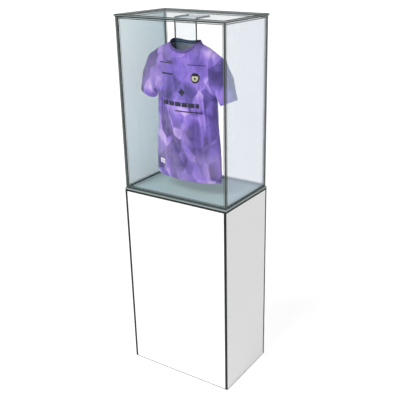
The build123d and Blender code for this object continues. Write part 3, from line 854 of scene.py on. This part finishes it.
def bars(finish, rows):
    """1 on each plain bar (centre across, height, half width, half height) and the diamond."""
    x, _, z = finish.place()
    total = None
    for across, height, half_width, half_height in rows:
        one = (finish.within(x, across, half_width, BAR_FADE)
               * finish.within(z, height, half_height, BAR_FADE))
        total = one if total is None else total.either(one)
    far = abs(x - DIAMOND[0]) + abs(z - DIAMOND[1])
    return total.either(finish.ramp(far, DIAMOND[2], DIAMOND[2] + 0.001, 1.0, 0.0))


def knit(name, seed, darker=0.0, rows=()):
    finish = Finish(name, Specular_IOR_Level=0.25, Sheen_Weight=0.25, Sheen_Roughness=0.5)
    where = finish.node("ShaderNodeTexCoord", output="Object")
    x, y, z = finish.place()
    wander = finish.node("ShaderNodeTexNoise", None, {"Vector": where, "Scale": 9.0}, 1)
    bent = finish.node("ShaderNodeVectorMath", {"operation": "MULTIPLY_ADD"},
                       {0: wander, 1: (0.035, 0.0, 0.035), 2: where})
    tone = (facets(finish, bent, 0.135, seed, 0.03) * 0.62
            + facets(finish, bent, 0.062, seed + 0.7, 0.3) * 0.38)
    cloud = finish.ramp(finish.noise(7.0, 3.0, where), 0.38, 0.68)
    bold = finish.ramp(z, hem_z + 0.28, hem_z + 0.50, 2.3, 1.1)
    # darker is painted shade over a whole panel's print; below zero it is painted light.
    shade = (tone - 0.5) * bold + 0.56 - darker + (cloud - 0.5) * 0.46
    colour = finish.node("ShaderNodeValToRGB", {"stops": PURPLES}, {0: shade})
    dusty = finish.ramp(finish.noise(4.5, 4.0, where), 0.46, 0.66) * 0.45
    colour = finish.blend(dusty, colour, linear(160, 142, 190))
    if rows:
        colour = finish.blend(bars(finish, rows), colour, linear(34, 26, 52))
    from_hem = z - hem_z
    lean = abs(x) * cuff_normal.x + z * cuff_normal.z
    from_cuff = cuff_out.dot(cuff_normal) - cuff_out.y * cuff_normal.y - lean
    dashes = ((x + y) * DASHES).sine() > -0.3
    stitches = finish.within(from_hem, HEM_STITCH, HALF_THREAD, THREAD_FADE)
    stitches = stitches.either(finish.within(from_cuff, HEM_STITCH, HALF_THREAD, THREAD_FADE))
    turned = finish.ramp(from_hem, TURNED, TURNED_END, 1.0, 0.0).either(
        finish.ramp(from_cuff, TURNED, TURNED_END, 1.0, 0.0))
    colour = finish.blend(stitches * dashes * 0.6, colour, linear(66, 50, 110))
    wale = (x * WALES).sine() * (z * COURSES).sine()
    finish.feed(Base_Color=colour, Roughness=0.62 + cloud * 0.12)
    finish.bump(wale * 0.12 + turned * 0.8 - stitches * dashes * 0.8
                + finish.noise(60.0, 3.0, where) * 0.25, 0.0009, 0.55)
    return finish


def wrong_side(name):
    finish = Finish(name, Specular_IOR_Level=0.2)
    x, _, z = finish.place()
    loops = (x * WALES).sine() * (z * COURSES).sine()
    soft = finish.noise(18.0, 3.0)
    finish.feed(Base_Color=finish.blend(soft, linear(184, 178, 190), linear(206, 200, 210)),
                Roughness=0.75 + soft * 0.1)
    finish.bump(loops, 0.0003, 0.4)
    return finish


inside = wrong_side("knit_wrong_side")
# each panel: the node it stands for, where it is, its finish, and an estimate of the flat size and
# area it is cut to, from the girths of the rings above before any fold, less the scoops
# The number after each seed is painted shade: the sleeves are painted darker, the left one most,
# and the front a little lighter as painted light.
panels = {
    "jersey_front_knit": ("jersey_front", lambda p: body_side(p) > 0 and front_side(p) > 0,
                          knit("front_knit", 1.7, -0.04, CHEST_BARS), (0.45, 0.715), 0.283),
    "jersey_back_knit": ("jersey_back", lambda p: body_side(p) > 0 and front_side(p) <= 0,
                         knit("back_knit", 2.3), (0.45, 0.72), 0.287),
    "jersey_sleeve_right_knit": ("jersey_right_sleeve", lambda p: body_side(p) <= 0 and p.x > 0,
                                 knit("right_sleeve_knit", 4.1, 0.10), (0.50, 0.20), 0.072),
    "jersey_sleeve_left_knit": ("jersey_left_sleeve", lambda p: body_side(p) <= 0 and p.x < 0,
                                knit("left_sleeve_knit", 5.2, 0.20), (0.50, 0.20), 0.072),
}
sewn = {}
for name, (node, belongs, finish, flat, cut_area) in panels.items():
    made, hung_area = panel(name, belongs, (finish, inside))
    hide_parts(node)
    sewn[name] = made
    print(name, "cut", cut_area, "and hung", round(hung_area, 3), "square metres")


# %% [markdown]
# The collar is a narrow ribbed band sewn round the neck. We walk round the neck's open edge, even
# it out, and sweep a flat section along it that stands up and leans in. The section is thicker
# for half of each rib's steps and thinner for the rest, and that makes the ribs.

# %% Collar
RIBS, RIB_STEPS, RIB_RISE = 130, 4, 0.00030
BAND, BACK_EXTRA, BAND_THICK = 0.015, 0.009, 0.0018
NECK_DEEP, NECK_WIDE, NECK_ROUNDS = 0.08, 0.14, 30   # where the edge is, and how often it's evened
RISE, LEAN, SUNK, PROUD, ROUND_OFF, TURN_BACK = 0.90, 0.44, 0.004, 0.0006, 0.001, 0.02


def neck_edge():
    """The points of the neck's open edge, in order."""
    shirt.edges.ensure_lookup_table()
    rim = [e for e in shirt.edges if e.is_boundary and e.verts[0].co.z > collar_z - NECK_DEEP
           and abs(e.verts[0].co.x) < NECK_WIDE]
    follow = {}
    for e in rim:
        for v in e.verts:
            follow.setdefault(v, []).append(e.other_vert(v))
    start = max(follow, key=lambda v: v.co.x)
    walk, last, now = [start.co.copy()], start, follow[start][0]
    while now is not start and len(walk) <= len(rim):
        walk.append(now.co.copy())
        onward = [v for v in follow[now] if v is not last]
        last, now = now, onward[0]
    return walk


def evened(points, count, rounds):
    """count points at equal steps round a closed line, smoothed a little."""
    points = np.array(points)
    for _ in range(rounds):
        points = (np.roll(points, 1, 0) + 2 * points + np.roll(points, -1, 0)) / 4
    closed = np.vstack([points, points[:1]])
    run = np.concatenate([[0], np.cumsum(np.linalg.norm(np.diff(closed, axis=0), axis=1))])
    at = np.linspace(0, run[-1], count, endpoint=False)
    return np.stack([np.interp(at, run, column) for column in closed.T], axis=1), run[-1]


rim, rim_length = evened(neck_edge(), RIBS * RIB_STEPS, NECK_ROUNDS)
neck_middle = rim.mean(axis=0)
band = bmesh.new()
loops = []
for k, point in enumerate(rim):
    inward = Vector((neck_middle[0] - point[0], neck_middle[1] - point[1], 0)).normalized()
    rise = (Vector((0, 0, 1)) * RISE + inward * LEAN).normalized()
    ahead = Vector(rim[(k + 1) % len(rim)] - point).normalized()
    out = rise.cross(ahead).normalized()
    out = -out if out.dot(inward) > 0 else out
    tall = BAND + BACK_EXTRA * min(1, max(0, (point[1] - middle_y) / TURN_BACK + 0.5))
    puff = RIB_RISE if k % RIB_STEPS < RIB_STEPS // 2 else -RIB_RISE
    half = BAND_THICK / 2 + puff
    foot = Vector(point) - rise * SUNK + out * PROUD
    brow = tall - ROUND_OFF
    section = [(0, -half), (0, half), (tall * 0.5, half), (brow, half), (tall, half * 0.4),
               (tall, -half * 0.4), (brow, -half), (tall * 0.5, -half)]
    loops.append([band.verts.new(foot + rise * up + out * side) for up, side in section])
bridge(band, loops + loops[:1], smooth=True)
collar = as_object("collar_band", band)
rib = Finish("rib_knit", Specular_IOR_Level=0.2, Sheen_Weight=0.2)
behind = rib.ramp(rib.place()[1], middle_y - TURN_BACK / 2, middle_y + TURN_BACK / 2)
speckle = rib.noise(900.0, 2.0)
# The back of the band is painted darker than the front: painted shade inside the neck.
rib.feed(Base_Color=rib.blend(behind, linear(104, 86, 156), linear(44, 26, 92)),
         Roughness=0.65 + speckle * 0.15)
rib.bump(speckle, 0.0003, 0.5)
collar.data.materials.append(rib.material)
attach(collar, "hood")
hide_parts("jersey_collar")

# %% [markdown]
# The badge and the hem label are small patches. Each is a flat outline dropped onto the cloth
# from in front, so it follows the shirt's curve.

# %% Badge and label
BADGE_X, BADGE_Z, BADGE_RADIUS, BADGE_TALL, BADGE_POINTS = 0.088, 1.706, 0.023, 1.12, 48
BADGE_THICK, LABEL_THICK = 0.0012, 0.0008
LABEL_X, LABEL_UP, LABEL_WIDE, LABEL_HIGH = -0.150, 0.078, 0.040, 0.026
LABEL_OUTLINE = ((-1, -1), (-0.5, -1), (0, -1), (0.5, -1), (1, -1), (1, 0),
                 (1, 1), (0.5, 1), (0, 1), (-0.5, 1), (-1, 1), (-1, 0))
# how far down the patch's side a ring is, and how far out, for the rings at its edge
PATCH_EDGE = [(0.0, 0.97), (0.35, 1.0), (1.0, 1.0)]
front_tree = BVHTree.FromObject(sewn["jersey_front_knit"], bpy.context.evaluated_depsgraph_get())


def patch(name, centre, outline, rings, thick, finish):
    """outline's points round centre, in metres, laid on the front as a raised patch."""
    mesh = bmesh.new()

    def on_cloth(x, z, lift):
        hit = front_tree.ray_cast(Vector((x, -1.0, z)), Vector((0, 1, 0)))[0]
        return Vector((x, hit.y - lift, z))
    loops = []
    steps = [(0.0, r / rings) for r in range(1, rings)] + PATCH_EDGE
    for drop, share in steps:
        loops.append([mesh.verts.new(on_cloth(centre[0] + share * a, centre[1] + share * b,
                                              thick * (1 - drop))) for a, b in outline])
    mesh.faces.new(loops[0])
    bridge(mesh, loops, smooth=True)
    made = as_object(name, mesh)
    made.data.materials.append(finish.material)
    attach(made, "hood")
    print(name, "at", centre)
    return made


circle = [(BADGE_RADIUS * math.cos(2 * math.pi * k / BADGE_POINTS),
           BADGE_TALL * BADGE_RADIUS * math.sin(2 * math.pi * k / BADGE_POINTS))
          for k in range(BADGE_POINTS)]
woven = Finish("woven_badge", Specular_IOR_Level=0.3)
badge_x, _, badge_z = woven.place()
away_x, away_z = badge_x - BADGE_X, badge_z - BADGE_Z
far_out = woven.sum("SQRT", away_x * away_x + away_z * away_z)
ring = woven.ramp(far_out, 0.0165, 0.0175)
top_band = woven.ramp(away_z, 0.009, 0.010)
diamond = woven.ramp(abs(away_x) + abs(away_z + 0.003), 0.0065, 0.0075, 1.0, 0.0)
thread = (badge_x * 9000.0).sine() * (badge_z * 9000.0).sine()
woven.feed(Base_Color=woven.blend(ring.either(top_band).either(diamond), linear(206, 200, 170),
                                  linear(28, 24, 34)), Roughness=0.6 + thread * 0.08)
woven.bump(thread * 0.3 - ring * 0.4, 0.0004, 0.5)
badge = patch("round_badge", (BADGE_X, BADGE_Z), circle, 5, BADGE_THICK, woven)
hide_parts("jersey_badge")

oblong = [(x * LABEL_WIDE / 2, z * LABEL_HIGH / 2) for x, z in LABEL_OUTLINE]
satin = Finish("satin_label", Specular_IOR_Level=0.4)
label_x, _, label_z = satin.place()
sheen = (label_z * 6000.0).sine()
stripe = (satin.within(label_z, hem_z + LABEL_UP, 0.0035, 0.0004)
          * satin.within(label_x, LABEL_X, 0.013, 0.0004))
satin.feed(Base_Color=satin.blend(stripe, linear(238, 234, 244), linear(178, 160, 214)),
           Roughness=0.4 + sheen * 0.05)
satin.bump(sheen, 0.0002, 0.4)
patch("hem_label", (LABEL_X, hem_z + LABEL_UP), oblong, 3, LABEL_THICK, satin)
